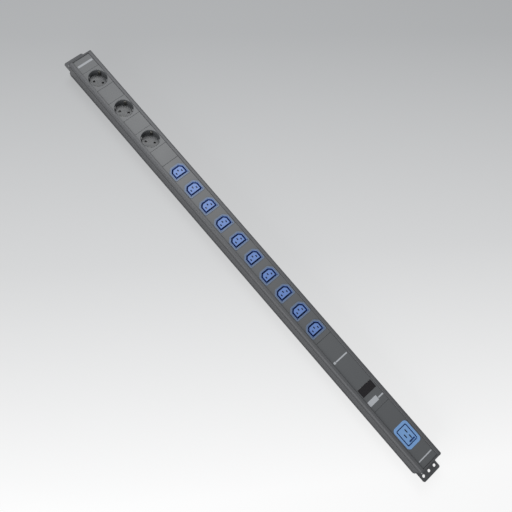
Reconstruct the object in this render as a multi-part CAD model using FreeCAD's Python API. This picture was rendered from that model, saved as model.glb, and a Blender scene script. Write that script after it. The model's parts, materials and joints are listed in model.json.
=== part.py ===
"""Rack power strip.

The strip lies on its rear face: +X runs along it to the end with the large outlet and the power
inlet, +Y across it and +Z out of its front. The origin is the middle of the rear face. An
aluminium channel with two front lips holds a row of snap-in covers and socket modules. Three
copper bars on an insulating carrier run along its floor, and every contact stands on them.
"""
import FreeCAD, Part
import math
import os

Vector = FreeCAD.Vector

# Cross-section of the channel
BODY_WIDTH = 58.6
BODY_DEPTH = 50.0
WALL = 2.0
LIP_WIDTH = 8.3
LIP_THICKNESS = 2.2
LIP_FLARE = 0.6
FRONT_RADIUS = 4.0
BACK_RADIUS = 1.5
LEDGE_WIDTH = 2.0
LEDGE_THICKNESS = 1.2
SIDE_GROOVE_WIDTH = 2.8
SIDE_GROOVE_DEPTH = 0.9
SIDE_GROOVE_INSET = 9.0
CHANNEL_RADIUS = 2.6
CHANNEL_BORE = 1.5
CHANNEL_INSET = 3.4
CHANNEL_LOW = 5.0
CHANNEL_HIGH_INSET = 8.0

# Covers and the lengths of the modules, in order from the far end
FACE_RECESS = 1.7
COVER_THICKNESS = 3.0
COVER_CLEARANCE = 0.2
COVER_SEAM = 0.3
COVER_CHAMFER = 0.4
FAR_BLANK_LENGTH = 34.0
SCHUKO_LENGTH = 50.0
SPACER_LENGTHS = (38.0, 38.0, 40.0)
C13_COUNT = 10
C13_PITCH = 47.7
C13_FAR_MARGIN = 28.2
C13_NEAR_MARGIN = 26.4
METER_LENGTH = 174.5
C19_LENGTH = 141.6

# End caps, brackets and their screws
CAP_THICKNESS = 4.0
CAP_CHAMFER = 0.8
CAP_TONGUE_LENGTH = 5.0
CAP_TONGUE_THICKNESS = 1.5
BRACKET_THICKNESS = 2.0
BRACKET_REACH = 31.0
BRACKET_WIDTH = 48.0
BRACKET_LEG_HEIGHT = 11.0
BRACKET_CORNER = 4.0
RACK_HOLE_PITCH = 15.875
RACK_HOLE_DIAMETER = 6.6
RACK_HOLE_EDGE = 10.2
SCREW_DIAMETER = 2.9
SCREW_LENGTH = 14.0
SCREW_HEAD_DIAMETER = 5.6
SCREW_HEAD_HEIGHT = 2.0
SCREW_HOLE_DIAMETER = 3.3
SCREW_CROSS = (0.8, 3.4)
SCREW_CROSS_DEPTH = 1.1

# Earthed round sockets: a round recess with two pins and two side earth clips
SCHUKO_PIN_SPACING = 19.0
SCHUKO_PIN_HOLE = 5.6
SCHUKO_RECESS = 39.5
SCHUKO_DEPTH = 17.5
SCHUKO_FLOOR = 3.0
SCHUKO_WALL = 2.0
SCHUKO_MOUTH_CHAMFER = 1.0
SCHUKO_TURN = 45.0
SCHUKO_SKIRT = 1.5
SCHUKO_RIB_WIDTH = 5.0
SCHUKO_RIB_DEPTH = 1.9
SHUTTER_THICKNESS = 2.0
SHUTTER_PLAY = 0.2
SHUTTER_HALF_WIDTH = 3.5
SHUTTER_OVERHANG = 4.0
SHUTTER_TRAVEL = 6.5
SHUTTER_CORNER = 1.0
SHUTTER_WEB = 1.5
RAIL_OVERRUN = 1.0
RAIL_THICKNESS = 1.5
BASE_THICKNESS = 2.0
BASE_TOWER = 8.4
SLEEVE_DIAMETER = 5.9
SLEEVE_WALL = 0.5
CLIP_THICKNESS = 0.8
CLIP_WIDTH = 5.0
CLIP_INSET = 1.85
CLIP_TOP_INSET = 4.3
CLIP_HOOK = 1.4
CLIP_TAIL_WIDTH = 3.0

# Small and large flat-blade outlets, sizes along X then along Y
C13_OPENING = (23.0, 30.4)
C13_BOSS_GAP = 3.6
C13_CHAMFER = 6.5
C13_RIM = (4.2, 4.2)
C13_RECESS = 17.0
C13_SLOT = (4.6, 2.6)
C13_PIN_SPACING = 14.0
C13_EARTH_OFFSET = 4.0
C19_OPENING = (37.4, 27.6)
C19_BOSS_GAP = 2.3
C19_RIM = (6.3, 4.5)
C19_RECESS = 20.0
C19_SLOT = (8.4, 2.6)
C19_PIN_SPACING = 13.0
C19_EARTH_OFFSET = 8.0
C19_PLACE = 74.1
LATCH_POCKET = (3.9, 15.0, 9.0)
LATCH_PLACE = (13.25, 2.5)
OUTLET_WALL = 2.0
OUTLET_DEPTH = 27.0
OUTLET_CORNER = 1.8
RIM_HEIGHT = 0.9
RIM_CHAMFER = 0.3
BOSS_SETBACK = 0.6
OUTLET_CLEARANCE = 0.15
LUG_WIDTH = 8.0
LUG_HEIGHT = 2.8
LUG_REACH = 1.0
LEAF_THICKNESS = 0.5
CONTACT_CLEARANCE = 0.2
CONTACT_TOP_INSET = 3.0
CONTACT_FLOOR = 2.0
CONTACT_WEB = 0.8
CONTACT_TAIL_WIDTH = 4.2

# Copper bars and their carrier on the floor of the channel
BUS_TOP = 15.0
BUS_WIDTH = 4.0
BUS_HEIGHT = 3.0
BUS_SPACING = 7.0
BUS_END_INSET = 40.0
BUS_SIDE_CLEARANCE = 0.1
CARRIER_WIDTH = 26.0
CARRIER_TOP_THICKNESS = 6.0
CARRIER_RIB = 2.5

# Current meter
WINDOW_SIZE = (18.6, 36.0)
WINDOW_PLACE = 44.1
WINDOW_SETBACK = 0.3
WINDOW_FLANGE = 1.6
WINDOW_FLANGE_THICKNESS = 1.6
DISPLAY_HEIGHT = 5.4
DISPLAY_INSET = 1.0
BOARD_DROP = 10.5
BOARD_THICKNESS = 1.6
BOARD_LENGTH = 120.0
BOARD_WIDTH = 40.0
BOARD_INSET = 8.4
POST_RADIUS = 2.5
POST_INSET = 4.5
POST_BORE = 0.9
BOARD_SCREW_LENGTH = 6.0
BOARD_SCREW_HEAD = 4.4
SUPPLY_BLOCK = (22.0, 18.0, 12.0)
SUPPLY_PLACE = (23.0, -5.0)
CAPACITOR_SIZE = (10.0, 13.0)
CAPACITOR_PLACE = (88.0, -8.0)
TERMINAL_BLOCK = (10.0, 24.0, 9.0)
TERMINAL_PLACE = (103.0, 0.0)
TRANSFORMER_SIZE = (14.0, 16.0)
TRANSFORMER_FOOT = 2.0
TRANSFORMER_WINDOW = (8.0, 7.0)
TRANSFORMER_PLACE = 78.0
BRIDGE_LENGTH = 36.0
BRIDGE_TOP = 27.0

# Power inlet in the near end cap, sizes across Y then along Z
INLET_CAVITY = (33.0, 23.0)
INLET_WALL = 2.0
INLET_FLANGE = 1.5
INLET_FLANGE_THICKNESS = 1.5
INLET_RECESS = 17.0
INLET_BACK = 5.0
INLET_HEIGHT = 28.5
INLET_CORNER = 3.0
BLADE_SIZE = (8.0, 2.0)
BLADE_INSET = 4.5
BLADE_TAB = 13.5
LEAD_DIAMETER = 3.5
LEAD_BEND = 6.0
LEAD_END_MARGIN = 1.0
FIT_CLEARANCE = 0.05

# Worked-out levels and places
FACE_Z = BODY_DEPTH - FACE_RECESS
COVER_BOTTOM = FACE_Z - COVER_THICKNESS
INNER_HALF = BODY_WIDTH / 2 - WALL
MOUTH_HALF = BODY_WIDTH / 2 - LIP_WIDTH
LIP_UNDERSIDE = BODY_DEPTH - LIP_THICKNESS
C13_COVER_LENGTH = C13_FAR_MARGIN + C13_PITCH * (C13_COUNT - 1) + C13_NEAR_MARGIN
MODULE_LENGTHS = [FAR_BLANK_LENGTH]
for spacer_length in SPACER_LENGTHS:
    MODULE_LENGTHS += [SCHUKO_LENGTH, spacer_length]
MODULE_LENGTHS += [C13_COVER_LENGTH, METER_LENGTH, C19_LENGTH]
CHANNEL_LENGTH = sum(MODULE_LENGTHS)
HALF_LENGTH = CHANNEL_LENGTH / 2
CAP_FACE = HALF_LENGTH + CAP_THICKNESS
BUS_NEAR_END = HALF_LENGTH - BUS_END_INSET
SCREW_HALF = BODY_WIDTH / 2 - CHANNEL_INSET
SCREW_LEVELS = (CHANNEL_LOW, BODY_DEPTH - CHANNEL_HIGH_INSET)
BOARD_TOP = FACE_Z - BOARD_DROP
CLIP_SPAN = SCHUKO_RECESS - 2 * CLIP_INSET


def module_edges():
    """The X of every seam between neighbouring modules, from the far end to the near end."""
    edges = [-HALF_LENGTH]
    for length in MODULE_LENGTHS:
        edges.append(edges[-1] + length)
    return edges


EDGES = module_edges()
SCHUKO_CENTRES = [(EDGES[1 + 2 * i] + EDGES[2 + 2 * i]) / 2 for i in range(3)]
C13_CENTRES = [EDGES[7] + C13_FAR_MARGIN + C13_PITCH * i for i in range(C13_COUNT)]
METER_FAR, METER_NEAR = EDGES[8], EDGES[9]
WINDOW_X = METER_NEAR - WINDOW_PLACE
C19_X = EDGES[9] + C19_PLACE
TRANSFORMER_X = METER_NEAR - TRANSFORMER_PLACE


def block(x, y, z):
    """A box between the pairs x, y and z."""
    size = [pair[1] - pair[0] for pair in (x, y, z)]
    return Part.makeBox(size[0], size[1], size[2], Vector(x[0], y[0], z[0]))


def rod(radius, base, direction, height):
    return Part.makeCylinder(radius, height, Vector(*base), Vector(*direction))


def around(middle, size):
    """The pair that a length makes around its middle."""
    return (middle - size / 2, middle + size / 2)


def rounded_wire(corners, radii):
    """A closed wire through the corners, each rounded by its radius."""
    count = len(corners)
    edges = []
    ends = []
    for i in range(count):
        here = corners[i]
        back = (corners[i - 1] - here).normalize()
        ahead = (corners[(i + 1) % count] - here).normalize()
        half = math.acos(max(-1.0, min(1.0, back.dot(ahead)))) / 2
        trim = radii[i] / math.tan(half)
        start = here + back * trim
        stop = here + ahead * trim
        ends.append((start, stop))
        if radii[i] > 0:
            inward = (back + ahead).normalize()
            middle = here + inward * (radii[i] / math.sin(half) - radii[i])
            edges.append(Part.Arc(start, middle, stop).toShape())
        else:
            edges.append(None)
    path = []
    for i in range(count):
        if edges[i]:
            path.append(edges[i])
        path.append(Part.LineSegment(ends[i][1], ends[(i + 1) % count][0]).toShape())
    return Part.Wire(path)


def slab(corners, radius, push):
    """The outline through the corners, rounded, pushed along a vector."""
    radii = radius if isinstance(radius, (list, tuple)) else [radius] * len(corners)
    return Part.Face(rounded_wire(corners, radii)).extrude(push)


def rectangle_x(x, y, z):
    """The corners of a rectangle that faces X."""
    return [Vector(x, y[0], z[0]), Vector(x, y[1], z[0]), Vector(x, y[1], z[1]), Vector(x, y[0], z[1])]


def rectangle_z(x, y, z):
    return [Vector(x[0], y[0], z), Vector(x[1], y[0], z), Vector(x[1], y[1], z), Vector(x[0], y[1], z)]


def fuse(shapes):
    whole = shapes[0]
    for shape in shapes[1:]:
        whole = whole.fuse(shape)
    return whole.removeSplitter()


def cut(whole, tools):
    for tool in tools:
        whole = whole.cut(tool)
    return whole


def turned(shape, middle_x):
    """A round socket's shape, drawn with its pin line along X, turned and put in place."""
    shape = shape.copy()
    shape.rotate(Vector(0, 0, 0), Vector(0, 0, 1), SCHUKO_TURN)
    shape.translate(Vector(middle_x, 0, 0))
    return shape


# ---------------------------------------------------------------- channel, caps, brackets, screws

def body_outline(x, length):
    """The outer shape of channel and caps, with soft front edges."""
    corners = rectangle_x(x, around(0, BODY_WIDTH), (0, BODY_DEPTH))
    return slab(corners, [BACK_RADIUS, BACK_RADIUS, FRONT_RADIUS, FRONT_RADIUS], Vector(length, 0, 0))


def screw_places():
    return [(side * SCREW_HALF, level) for side in (-1, 1) for level in SCREW_LEVELS]


def housing():
    ends = (-HALF_LENGTH, HALF_LENGTH)
    along = Vector(CHANNEL_LENGTH, 0, 0)
    shell = body_outline(-HALF_LENGTH, CHANNEL_LENGTH)
    cavity = block(ends, around(0, 2 * INNER_HALF), (WALL, LIP_UNDERSIDE))
    flared = MOUTH_HALF + LIP_FLARE
    mouth = [Vector(-HALF_LENGTH, -MOUTH_HALF, COVER_BOTTOM)]
    mouth.append(Vector(-HALF_LENGTH, MOUTH_HALF, COVER_BOTTOM))
    mouth.append(Vector(-HALF_LENGTH, MOUTH_HALF, BODY_DEPTH - LIP_FLARE))
    mouth.append(Vector(-HALF_LENGTH, flared, BODY_DEPTH))
    mouth.append(Vector(-HALF_LENGTH, -flared, BODY_DEPTH))
    mouth.append(Vector(-HALF_LENGTH, -MOUTH_HALF, BODY_DEPTH - LIP_FLARE))
    shell = cut(shell, [cavity, slab(mouth, 0, along)])
    added = []
    removed = []
    for side in (-1, 1):
        ledge_y = sorted((side * INNER_HALF, side * (INNER_HALF - LEDGE_WIDTH)))
        added.append(block(ends, ledge_y, (COVER_BOTTOM - LEDGE_THICKNESS, COVER_BOTTOM)))
        face = side * BODY_WIDTH / 2
        groove_y = sorted((face, face - side * SIDE_GROOVE_DEPTH))
        for level in (SIDE_GROOVE_INSET, BODY_DEPTH - SIDE_GROOVE_INSET):
            removed.append(block(ends, groove_y, around(level, SIDE_GROOVE_WIDTH)))
    inside = block(ends, around(0, 2 * INNER_HALF + WALL), (WALL / 2, LIP_UNDERSIDE))
    for y, z in screw_places():
        tube = rod(CHANNEL_RADIUS, (-HALF_LENGTH, y, z), (1, 0, 0), CHANNEL_LENGTH)
        added.append(tube.common(inside))
        removed.append(rod(CHANNEL_BORE, (-HALF_LENGTH, y, z), (1, 0, 0), CHANNEL_LENGTH))
    return cut(fuse([shell] + added), removed)


def end_cap(side):
    """The plate that closes an end, with a tongue that lies on the channel's floor."""
    inner = side * HALF_LENGTH
    plate = body_outline(min(inner, side * CAP_FACE), CAP_THICKNESS)
    rim = [edge for edge in plate.Edges if abs(edge.BoundBox.XMin - side * CAP_FACE) < 1e-6
           and abs(edge.BoundBox.XMax - side * CAP_FACE) < 1e-6]
    plate = plate.makeChamfer(CAP_CHAMFER, rim)
    tongue_x = sorted((inner, side * (HALF_LENGTH - CAP_TONGUE_LENGTH)))
    tongue_half = SCREW_HALF - CHANNEL_RADIUS - COVER_CLEARANCE
    tongue = block(tongue_x, (-tongue_half, tongue_half), (WALL, WALL + CAP_TONGUE_THICKNESS))
    holes = []
    for y, z in screw_places():
        holes.append(rod(SCREW_HOLE_DIAMETER / 2, (inner, y, z), (side, 0, 0), CAP_THICKNESS))
    return cut(fuse([plate, tongue]), holes)


def near_end_cap():
    body = [size + 2 * (INLET_WALL + OUTLET_CLEARANCE) for size in INLET_CAVITY]
    window = rectangle_x(HALF_LENGTH, around(0, body[0]), around(INLET_HEIGHT, body[1]))
    return cut(end_cap(1), [slab(window, INLET_CORNER, Vector(CAP_THICKNESS, 0, 0))])


def bracket(side):
    """An angle of sheet steel: one leg under the lower end screws, one with the rack holes."""
    face = side * CAP_FACE
    leg_x = sorted((face, face + side * BRACKET_THICKNESS))
    leg_half = SCREW_HALF + SCREW_HEAD_DIAMETER / 2
    leg = slab(rectangle_x(leg_x[0], (-leg_half, leg_half), (0, BRACKET_LEG_HEIGHT)),
               [0, 0, BRACKET_THICKNESS, BRACKET_THICKNESS], Vector(BRACKET_THICKNESS, 0, 0))
    foot_x = (face, face + side * BRACKET_REACH)
    foot = slab(rectangle_z(foot_x, around(0, BRACKET_WIDTH), 0),
                [0, BRACKET_CORNER, BRACKET_CORNER, 0], Vector(0, 0, BRACKET_THICKNESS))
    holes = []
    for step in (-1, 0, 1):
        base = (face + side * (BRACKET_REACH - RACK_HOLE_EDGE), step * RACK_HOLE_PITCH, 0)
        holes.append(rod(RACK_HOLE_DIAMETER / 2, base, (0, 0, 1), BRACKET_THICKNESS))
    for y in (-SCREW_HALF, SCREW_HALF):
        base = (face, y, CHANNEL_LOW)
        holes.append(rod(SCREW_HOLE_DIAMETER / 2, base, (side, 0, 0), BRACKET_THICKNESS))
    return cut(fuse([leg, foot]), holes)


def end_screws():
    """Eight pan-head screws; the lower ones also hold the brackets."""
    screws = []
    for side in (-1, 1):
        for y, z in screw_places():
            seat = CAP_FACE + (BRACKET_THICKNESS if z == CHANNEL_LOW else 0)
            shank = rod(SCREW_DIAMETER / 2, (side * seat, y, z), (-side, 0, 0), SCREW_LENGTH)
            head = rod(SCREW_HEAD_DIAMETER / 2, (side * seat, y, z), (side, 0, 0), SCREW_HEAD_HEIGHT)
            crown = [edge for edge in head.Edges
                     if abs(edge.BoundBox.XMin - side * (seat + SCREW_HEAD_HEIGHT)) < 1e-3]
            head = head.makeFillet(SCREW_HEAD_HEIGHT / 3, crown)
            top = seat + SCREW_HEAD_HEIGHT
            slots = []
            for size in (SCREW_CROSS, SCREW_CROSS[::-1]):
                slots.append(block(sorted((side * top, side * (top - SCREW_CROSS_DEPTH))),
                                   around(y, size[0]), around(z, size[1])))
            screws.append(cut(fuse([shank, head]), slots))
    return Part.makeCompound(screws)


# ---------------------------------------------------------------- covers

def cover(far, near):
    """A snap-in cover: a face between the lips and a flange beneath them."""
    x = (far + COVER_SEAM / 2, near - COVER_SEAM / 2)
    face_half = MOUTH_HALF - COVER_CLEARANCE
    flange_half = INNER_HALF - COVER_CLEARANCE
    flange = block(x, (-flange_half, flange_half), (COVER_BOTTOM, LIP_UNDERSIDE - COVER_CLEARANCE))
    face = block(x, (-face_half, face_half), (COVER_BOTTOM, FACE_Z))
    rim = [edge for edge in face.Edges if edge.BoundBox.ZMin > FACE_Z - 1e-3]
    return fuse([flange, face.makeChamfer(COVER_CHAMFER, rim)])


def c13_cover():
    plate = cover(EDGES[7], EDGES[8])
    windows = []
    for x in C13_CENTRES:
        window = outlet_outline(x, C13_OPENING, OUTLET_WALL + OUTLET_CLEARANCE, C13_CHAMFER)
        windows.append(slab(window, OUTLET_CORNER, Vector(0, 0, COVER_THICKNESS)))
    return cut(plate, [tool.translated(Vector(0, 0, COVER_BOTTOM)) for tool in windows])


def c19_cover():
    window = outlet_outline(C19_X, C19_OPENING, OUTLET_WALL + OUTLET_CLEARANCE, 0)
    tool = slab(window, OUTLET_CORNER, Vector(0, 0, COVER_THICKNESS))
    return cut(cover(EDGES[9], EDGES[10]), [tool.translated(Vector(0, 0, COVER_BOTTOM))])


# ---------------------------------------------------------------- round sockets

def pin_places():
    return [(side * SCHUKO_PIN_SPACING / 2, 0) for side in (-1, 1)]


SCHUKO_FLOOR_TOP = FACE_Z - SCHUKO_DEPTH
SCHUKO_FLOOR_BOTTOM = SCHUKO_FLOOR_TOP - SCHUKO_FLOOR
SHUTTER_TOP = SCHUKO_FLOOR_BOTTOM - SHUTTER_PLAY
BASE_TOP = SHUTTER_TOP - SHUTTER_THICKNESS - SHUTTER_PLAY
BASE_BOTTOM = BASE_TOP - BASE_THICKNESS
CUP_RADIUS = SCHUKO_RECESS / 2 + SCHUKO_WALL
SHUTTER_HALF_LENGTH = SCHUKO_PIN_SPACING / 2 + SHUTTER_OVERHANG


def clip_slots(bottom, height):
    """Slots in floor and base for the two arms of the earth clip."""
    slots = []
    for side in (-1, 1):
        middle = side * (CLIP_SPAN - CLIP_THICKNESS) / 2
        slots.append(block(around(0, CLIP_WIDTH + 2 * COVER_CLEARANCE),
                           around(middle, CLIP_THICKNESS + 2 * COVER_CLEARANCE),
                           (bottom, bottom + height)))
    return slots


def schuko_socket(index):
    middle = SCHUKO_CENTRES[index]
    skirt_inner = CUP_RADIUS - SCHUKO_SKIRT
    cup = rod(CUP_RADIUS, (0, 0, BASE_BOTTOM), (0, 0, 1), COVER_BOTTOM - BASE_BOTTOM)
    inside = SCHUKO_RECESS / 2
    recess = rod(inside, (0, 0, SCHUKO_FLOOR_TOP), (0, 0, 1), SCHUKO_DEPTH)
    mouth = Part.makeCone(inside, inside + SCHUKO_MOUTH_CHAMFER, SCHUKO_MOUTH_CHAMFER,
                          Vector(0, 0, FACE_Z - SCHUKO_MOUTH_CHAMFER))
    skirt = rod(skirt_inner, (0, 0, BASE_BOTTOM), (0, 0, 1), SCHUKO_FLOOR_BOTTOM - BASE_BOTTOM)
    holes = clip_slots(SCHUKO_FLOOR_BOTTOM, SCHUKO_FLOOR)
    for x, y in pin_places():
        holes.append(rod(SCHUKO_PIN_HOLE / 2, (x, y, SCHUKO_FLOOR_BOTTOM), (0, 0, 1), SCHUKO_FLOOR))
    added = []
    for side in (-1, 1):
        rib_x = sorted((side * (inside - SCHUKO_RIB_DEPTH), side * (inside + SCHUKO_WALL / 2)))
        rib_top = FACE_Z - SCHUKO_MOUTH_CHAMFER - SCHUKO_RIB_DEPTH
        added.append(block(rib_x, around(0, SCHUKO_RIB_WIDTH), (SCHUKO_FLOOR_TOP, rib_top)))
        rail = side * (SHUTTER_HALF_LENGTH + SHUTTER_PLAY)
        rail_x = sorted((rail, rail + side * RAIL_THICKNESS))
        rail_y = (-SHUTTER_HALF_WIDTH - RAIL_OVERRUN,
                  SHUTTER_HALF_WIDTH + SHUTTER_TRAVEL + RAIL_OVERRUN)
        added.append(block(rail_x, rail_y, (BASE_TOP + SHUTTER_PLAY, SCHUKO_FLOOR_BOTTOM)))
    plate = cover(EDGES[1 + 2 * index], EDGES[2 + 2 * index])
    whole = fuse([plate, turned(cup, middle)])
    whole = cut(whole, [turned(tool, middle) for tool in [recess, mouth, skirt] + holes])
    return fuse([whole] + [turned(piece, middle) for piece in added])


def schuko_shutter(index):
    """A bar that covers both pin holes and slides aside, across the pin line."""
    plate = block((-SHUTTER_HALF_LENGTH, SHUTTER_HALF_LENGTH),
                  (-SHUTTER_HALF_WIDTH, SHUTTER_HALF_WIDTH),
                  (SHUTTER_TOP - SHUTTER_THICKNESS, SHUTTER_TOP))
    upright = [edge for edge in plate.Edges if edge.BoundBox.ZLength > SHUTTER_THICKNESS / 2]
    plate = plate.makeFillet(SHUTTER_CORNER, upright)
    gap = SCHUKO_PIN_SPACING / 2 - SCHUKO_PIN_HOLE / 2 - SHUTTER_WEB
    light = block((-gap, gap), around(0, SHUTTER_HALF_WIDTH), (SHUTTER_TOP - SHUTTER_THICKNESS, SHUTTER_TOP))
    return turned(plate.cut(light), SCHUKO_CENTRES[index])


def schuko_base(index):
    """The moulded base under a round socket, with a tower for each pin sleeve."""
    disc = rod(CUP_RADIUS - SCHUKO_SKIRT - COVER_CLEARANCE, (0, 0, BASE_BOTTOM), (0, 0, 1), BASE_THICKNESS)
    pieces = [disc]
    holes = clip_slots(BASE_BOTTOM, BASE_THICKNESS)
    for x, y in pin_places():
        pieces.append(block(around(x, BASE_TOWER), around(y, BASE_TOWER), (BUS_TOP, BASE_BOTTOM)))
        bore = SLEEVE_DIAMETER / 2 + FIT_CLEARANCE
        holes.append(rod(bore, (x, y, BUS_TOP), (0, 0, 1), BASE_TOP - BUS_TOP))
    return turned(cut(fuse(pieces), holes), SCHUKO_CENTRES[index])


def schuko_sleeves():
    """Spring sleeves for the round pins, each standing on its bar."""
    sleeves = []
    for middle in SCHUKO_CENTRES:
        for x, y in pin_places():
            height = BASE_TOP - BUS_TOP
            tube = rod(SLEEVE_DIAMETER / 2, (x, y, BUS_TOP), (0, 0, 1), height)
            bore = rod(SLEEVE_DIAMETER / 2 - SLEEVE_WALL, (x, y, BUS_TOP), (0, 0, 1), height)
            slit = block(around(x, 2 * SLEEVE_WALL), (y, y + SLEEVE_DIAMETER),
                         (BUS_TOP + height / 3, BASE_TOP))
            sleeves.append(turned(tube.cut(bore).cut(slit), middle))
    return Part.makeCompound(sleeves)


def schuko_earth_clip(index):
    """A stirrup of spring strip: an arm up each side of the recess, a strap and a tail."""
    outer = CLIP_SPAN / 2
    strap_top = BASE_BOTTOM - COVER_CLEARANCE
    strap_bottom = strap_top - CLIP_THICKNESS
    top = FACE_Z - CLIP_TOP_INSET
    wide = around(0, CLIP_WIDTH)
    pieces = [block(wide, (-outer, outer), (strap_bottom, strap_top))]
    pieces.append(block(around(0, CLIP_TAIL_WIDTH), around(0, CLIP_THICKNESS), (BUS_TOP, strap_bottom)))
    for side in (-1, 1):
        arm_y = sorted((side * outer, side * (outer - CLIP_THICKNESS)))
        hook_y = sorted((side * (outer - CLIP_THICKNESS), side * (outer + CLIP_HOOK)))
        pieces.append(block(wide, arm_y, (strap_bottom, top)))
        pieces.append(block(wide, hook_y, (top - CLIP_THICKNESS, top)))
    return turned(fuse(pieces), SCHUKO_CENTRES[index])


# ---------------------------------------------------------------- flat-blade outlets

def outlet_outline(x, opening, grow, chamfer):
    """The outline of an outlet, grown all round; the far corners are cut where it is keyed."""
    half_x = opening[0] / 2 + grow
    half_y = opening[1] / 2 + grow
    if not chamfer:
        return rectangle_z((x - half_x, x + half_x), (-half_y, half_y), 0)
    key = chamfer + grow * (2 - math.sqrt(2))
    corners = [Vector(x - half_x, -half_y + key, 0), Vector(x - half_x + key, -half_y, 0)]
    corners += [Vector(x + half_x, -half_y, 0), Vector(x + half_x, half_y, 0)]
    corners += [Vector(x - half_x + key, half_y, 0), Vector(x - half_x, half_y - key, 0)]
    return corners


def outlet_column(x, opening, grow, chamfer, z):
    column = slab(outlet_outline(x, opening, grow, chamfer), OUTLET_CORNER, Vector(0, 0, z[1] - z[0]))
    return column.translated(Vector(0, 0, z[0]))


def rim_column(x, opening, rim, chamfer):
    wide = (opening[0] + 2 * rim[0], opening[1] + 2 * rim[1])
    key = chamfer + rim[0] * (2 - math.sqrt(2)) if chamfer else 0
    column = outlet_column(x, wide, 0, key, (FACE_Z, FACE_Z + RIM_HEIGHT))
    crown = [edge for edge in column.Edges if edge.BoundBox.ZMin > FACE_Z + RIM_HEIGHT - 1e-3]
    return column.makeChamfer(RIM_CHAMFER, crown)


def outlet(x, opening, rim, chamfer, recess, boss_gap, slots, slot):
    """One moulding: rim, body behind the cover, recess and the boss with its slots."""
    bottom = FACE_Z - OUTLET_DEPTH
    top = FACE_Z + RIM_HEIGHT
    body = outlet_column(x, opening, OUTLET_WALL, chamfer, (bottom, FACE_Z))
    lug_z = (COVER_BOTTOM - FIT_CLEARANCE - LUG_HEIGHT, COVER_BOTTOM - FIT_CLEARANCE)
    reach = opening[0] / 2 + OUTLET_WALL + LUG_REACH
    lug = block((x - reach, x + reach), around(0, LUG_WIDTH), lug_z)
    well = outlet_column(x, opening, 0, chamfer, (FACE_Z - recess, top))
    boss = outlet_column(x, opening, -boss_gap, chamfer, (FACE_Z - recess, top - BOSS_SETBACK))
    shell = cut(fuse([body, rim_column(x, opening, rim, chamfer), lug]), [well])
    cavities = []
    for offset, y in slots:
        cavities.append(block(around(x + offset, slot[0]), around(y, slot[1]), (bottom, top)))
    return cut(fuse([shell, boss]), cavities)


def contact(x, y, slot, bus_y):
    """A folded spring contact in its slot, with a tail down to its bar."""
    bottom = FACE_Z - OUTLET_DEPTH
    floor = bottom + CONTACT_FLOOR
    long = around(x, slot[0] - 2 * CONTACT_CLEARANCE)
    half = slot[1] / 2 - CONTACT_CLEARANCE
    pieces = [block(long, (y - half, y + half), (floor, floor + CONTACT_WEB))]
    for side in (-1, 1):
        leaf_y = sorted((y + side * half, y + side * (half - LEAF_THICKNESS)))
        pieces.append(block(long, leaf_y, (floor, FACE_Z - CONTACT_TOP_INSET)))
    step = (BUS_TOP + bottom) / 2
    tail = around(x, CONTACT_TAIL_WIDTH)
    pieces.append(block(tail, around(y, CONTACT_WEB), (step, floor)))
    foot_y = (min(y, bus_y) - CONTACT_WEB / 2, max(y, bus_y) + CONTACT_WEB / 2)
    pieces.append(block(tail, foot_y, (step - CONTACT_WEB, step)))
    pieces.append(block(tail, around(bus_y, CONTACT_WEB), (BUS_TOP, step)))
    return fuse(pieces)


C13_SLOTS = [(C13_EARTH_OFFSET / 2, C13_PIN_SPACING / 2), (C13_EARTH_OFFSET / 2, -C13_PIN_SPACING / 2),
             (-C13_EARTH_OFFSET / 2, 0)]
C19_SLOTS = [(C19_PIN_SPACING / 2, C19_EARTH_OFFSET / 2), (-C19_PIN_SPACING / 2, C19_EARTH_OFFSET / 2),
             (0, -C19_EARTH_OFFSET / 2)]
BUS_ROWS = (BUS_SPACING, -BUS_SPACING, 0)


def c13_outlet(index):
    return outlet(C13_CENTRES[index], C13_OPENING, C13_RIM, C13_CHAMFER, C13_RECESS, C13_BOSS_GAP,
                  C13_SLOTS, C13_SLOT)


def c19_outlet():
    """The large outlet, with a pocket in its boss for the latch of a locking plug."""
    whole = outlet(C19_X, C19_OPENING, C19_RIM, 0, C19_RECESS, C19_BOSS_GAP, C19_SLOTS, C19_SLOT)
    pocket = block(around(C19_X + LATCH_PLACE[0], LATCH_POCKET[0]), around(LATCH_PLACE[1], LATCH_POCKET[1]),
                   (FACE_Z - LATCH_POCKET[2], FACE_Z + RIM_HEIGHT))
    return whole.cut(pocket)


def contact_set(x, slots, slot):
    pieces = [contact(x + place[0], place[1], slot, row) for place, row in zip(slots, BUS_ROWS)]
    return Part.makeCompound(pieces)


# ---------------------------------------------------------------- bars and carrier

BUS_FAR_END = SCHUKO_CENTRES[0] - SCHUKO_LENGTH / 3
BRIDGE_X = around(TRANSFORMER_X, BRIDGE_LENGTH)


def bus_bar(y):
    return block((BUS_FAR_END, BUS_NEAR_END), around(y, BUS_WIDTH), (BUS_TOP - BUS_HEIGHT, BUS_TOP))


def line_bus_bar():
    """The line bar climbs over a bridge, which passes through the current transformer."""
    y = BUS_SPACING
    wide = around(y, BUS_WIDTH)
    gap = block((BRIDGE_X[0] + BUS_HEIGHT, BRIDGE_X[1] - BUS_HEIGHT), wide, (0, BUS_TOP))
    posts = [block((BRIDGE_X[0], BRIDGE_X[0] + BUS_HEIGHT), wide, (BUS_TOP - BUS_HEIGHT, BRIDGE_TOP))]
    posts.append(block((BRIDGE_X[1] - BUS_HEIGHT, BRIDGE_X[1]), wide, (BUS_TOP - BUS_HEIGHT, BRIDGE_TOP)))
    posts.append(block(BRIDGE_X, wide, (BRIDGE_TOP - BUS_HEIGHT, BRIDGE_TOP)))
    return fuse([bus_bar(y).cut(gap)] + posts)


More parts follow.
